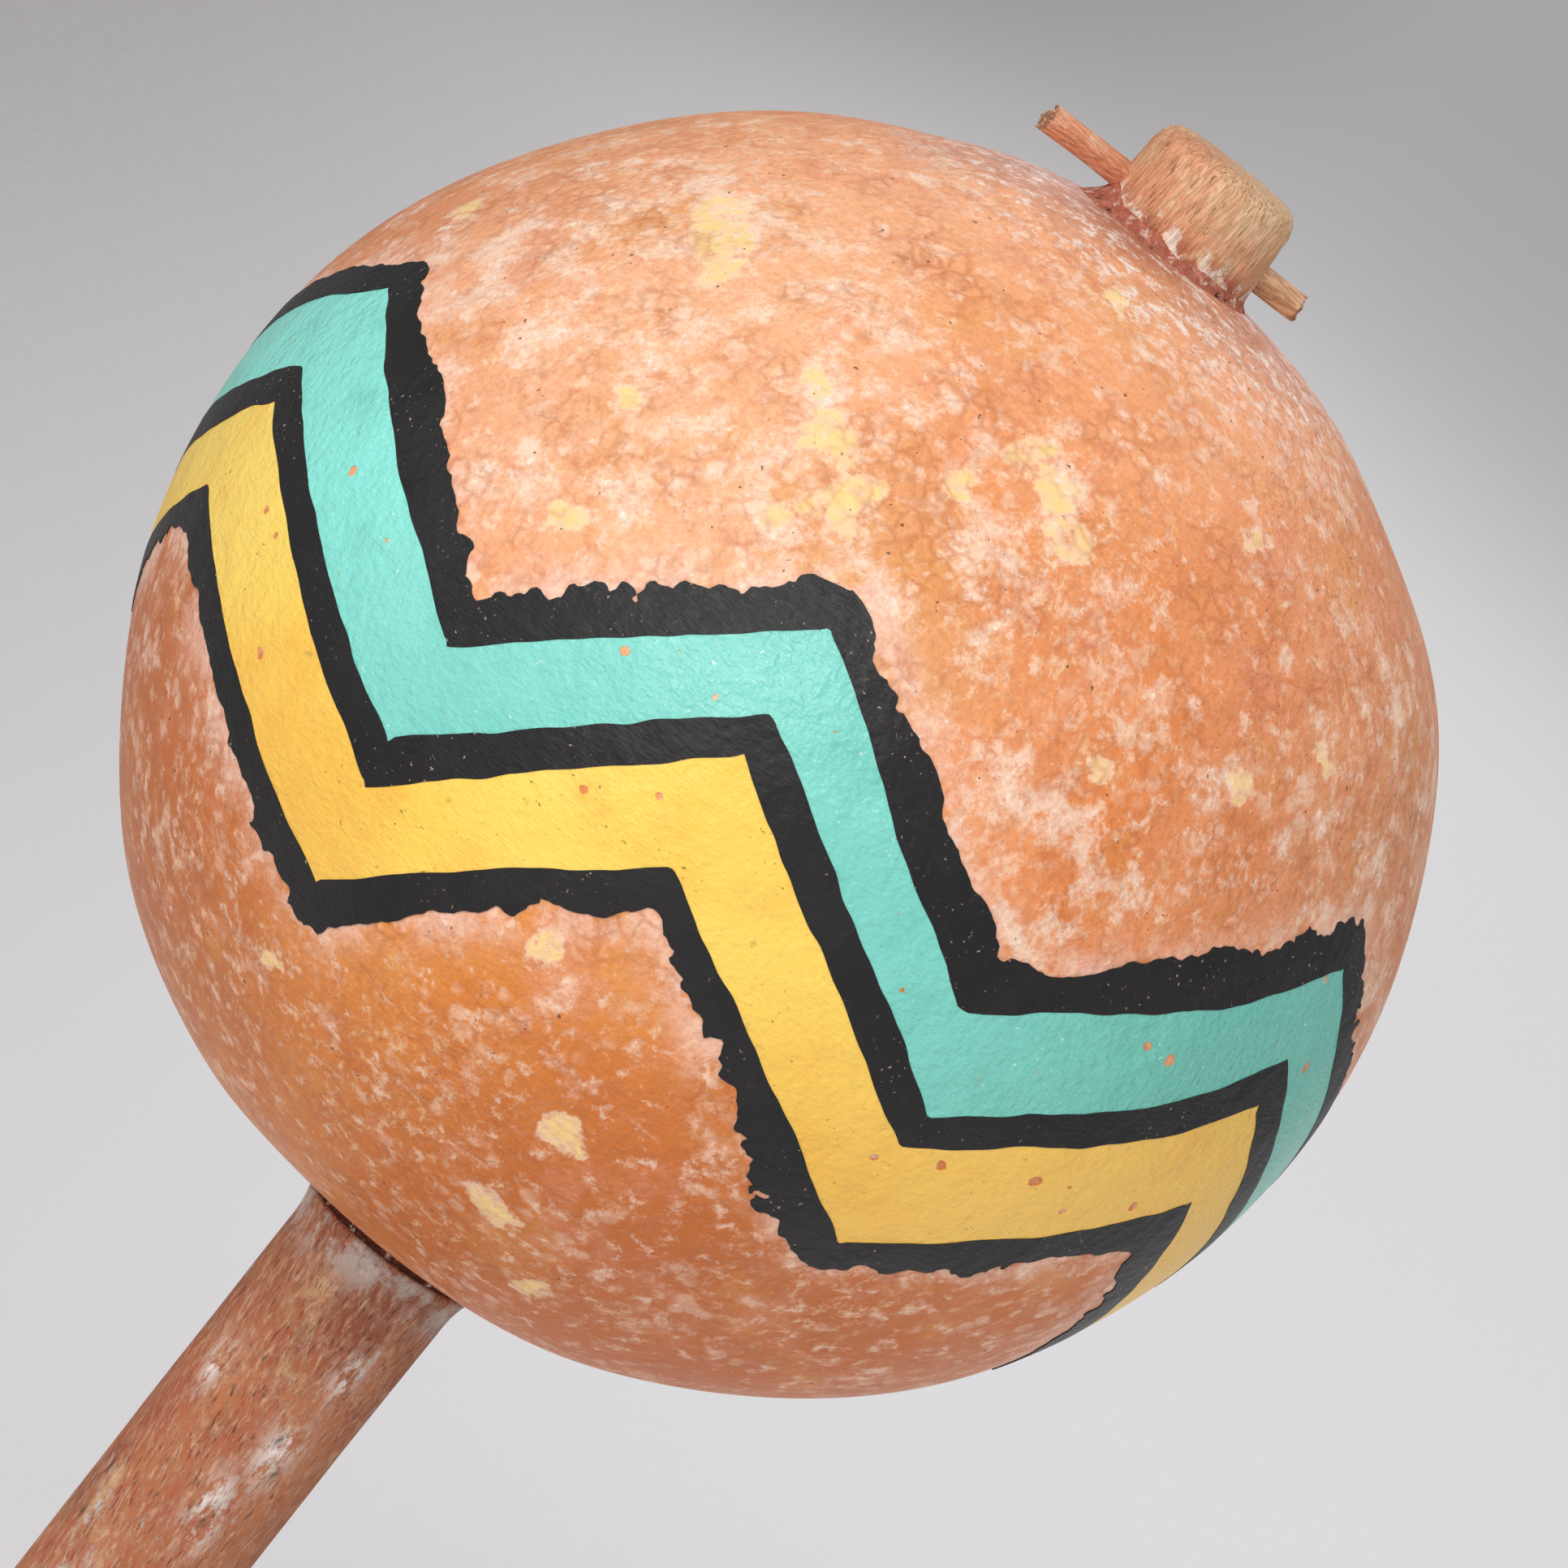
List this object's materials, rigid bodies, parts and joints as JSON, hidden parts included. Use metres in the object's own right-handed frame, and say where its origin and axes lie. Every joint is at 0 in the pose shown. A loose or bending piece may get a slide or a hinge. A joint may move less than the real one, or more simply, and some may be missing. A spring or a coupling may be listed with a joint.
{
  "type": "gourd rattle",
  "caption": "Round hollow gourd rattle on a straight wooden handle, with a painted stepped zigzag band, a cross peg through the stick's end and loose stones inside.",
  "frame": {"origin": "on the stick's axis, at the middle of the hand grip", "axes": "+Z along the stick from the butt to the gourd; +X along the shorter end of the cross peg, turned 12 degrees towards +Y"},
  "size_m": [0.162, 0.162, 0.2796],
  "materials": {
    "gourd": "dyed dried gourd rind, satin, with painted turquoise, yellow and black band",
    "stick_wood": "hand-smoothed branch wood rubbed with red-brown pigment",
    "peg_wood": "split softwood, orange stain",
    "clay_paste": "dry matt clay paste with small pits",
    "pebble": "smooth river stone"
  },
  "bodies": {
    "rattle": {"gourd_shell": "gourd", "stick": "stick_wood", "cross_peg": "peg_wood", "top_paste": "clay_paste", "lower_paste": "clay_paste"},
    "stone_1": {"rattle_stone_1": "pebble"},
    "stone_2": {"rattle_stone_2": "pebble"},
    "stone_3": {"rattle_stone_3": "pebble"},
    "stone_4": {"rattle_stone_4": "pebble"},
    "stone_5": {"rattle_stone_5": "pebble"},
    "stone_6": {"rattle_stone_6": "pebble"},
    "stone_7": {"rattle_stone_7": "pebble"},
    "stone_8": {"rattle_stone_8": "pebble"},
    "stone_9": {"rattle_stone_9": "pebble"},
    "stone_10": {"rattle_stone_10": "pebble"},
    "stone_11": {"rattle_stone_11": "pebble"},
    "stone_12": {"rattle_stone_12": "pebble"},
    "stone_13": {"rattle_stone_13": "pebble"},
    "stone_14": {"rattle_stone_14": "pebble"},
    "stone_15": {"rattle_stone_15": "pebble"},
    "stone_16": {"rattle_stone_16": "pebble"}
  },
  "joints": [
    {"name": "stone_1_flight", "type": "slide", "parent": "rattle", "child": "stone_1", "axis": [0, 0, 1], "range_m": [0, 0.138]},
    {"name": "stone_2_flight", "type": "slide", "parent": "rattle", "child": "stone_2", "axis": [0, 0, 1], "range_m": [0, 0.1396]},
    {"name": "stone_3_flight", "type": "slide", "parent": "rattle", "child": "stone_3", "axis": [0, 0, 1], "range_m": [0, 0.1379]},
    {"name": "stone_4_flight", "type": "slide", "parent": "rattle", "child": "stone_4", "axis": [0, 0, 1], "range_m": [0, 0.1388]},
    {"name": "stone_5_flight", "type": "slide", "parent": "rattle", "child": "stone_5", "axis": [0, 0, 1], "range_m": [0, 0.1391]},
    {"name": "stone_6_flight", "type": "slide", "parent": "rattle", "child": "stone_6", "axis": [0, 0, 1], "range_m": [0, 0.1377]},
    {"name": "stone_7_flight", "type": "slide", "parent": "rattle", "child": "stone_7", "axis": [0, 0, 1], "range_m": [0, 0.1395]},
    {"name": "stone_8_flight", "type": "slide", "parent": "rattle", "child": "stone_8", "axis": [0, 0, 1], "range_m": [0, 0.1383]},
    {"name": "stone_9_flight", "type": "slide", "parent": "rattle", "child": "stone_9", "axis": [0, 0, 1], "range_m": [0, 0.1325]},
    {"name": "stone_10_flight", "type": "slide", "parent": "rattle", "child": "stone_10", "axis": [0, 0, 1], "range_m": [0, 0.1337]},
    {"name": "stone_11_flight", "type": "slide", "parent": "rattle", "child": "stone_11", "axis": [0, 0, 1], "range_m": [0, 0.1319]},
    {"name": "stone_12_flight", "type": "slide", "parent": "rattle", "child": "stone_12", "axis": [0, 0, 1], "range_m": [0, 0.1333]},
    {"name": "stone_13_flight", "type": "slide", "parent": "rattle", "child": "stone_13", "axis": [0, 0, 1], "range_m": [0, 0.133]},
    {"name": "stone_14_flight", "type": "slide", "parent": "rattle", "child": "stone_14", "axis": [0, 0, 1], "range_m": [0, 0.132]},
    {"name": "stone_15_flight", "type": "slide", "parent": "rattle", "child": "stone_15", "axis": [0, 0, 1], "range_m": [0, 0.1338]},
    {"name": "stone_16_flight", "type": "slide", "parent": "rattle", "child": "stone_16", "axis": [0, 0, 1], "range_m": [0, 0.1322]}
  ]
}
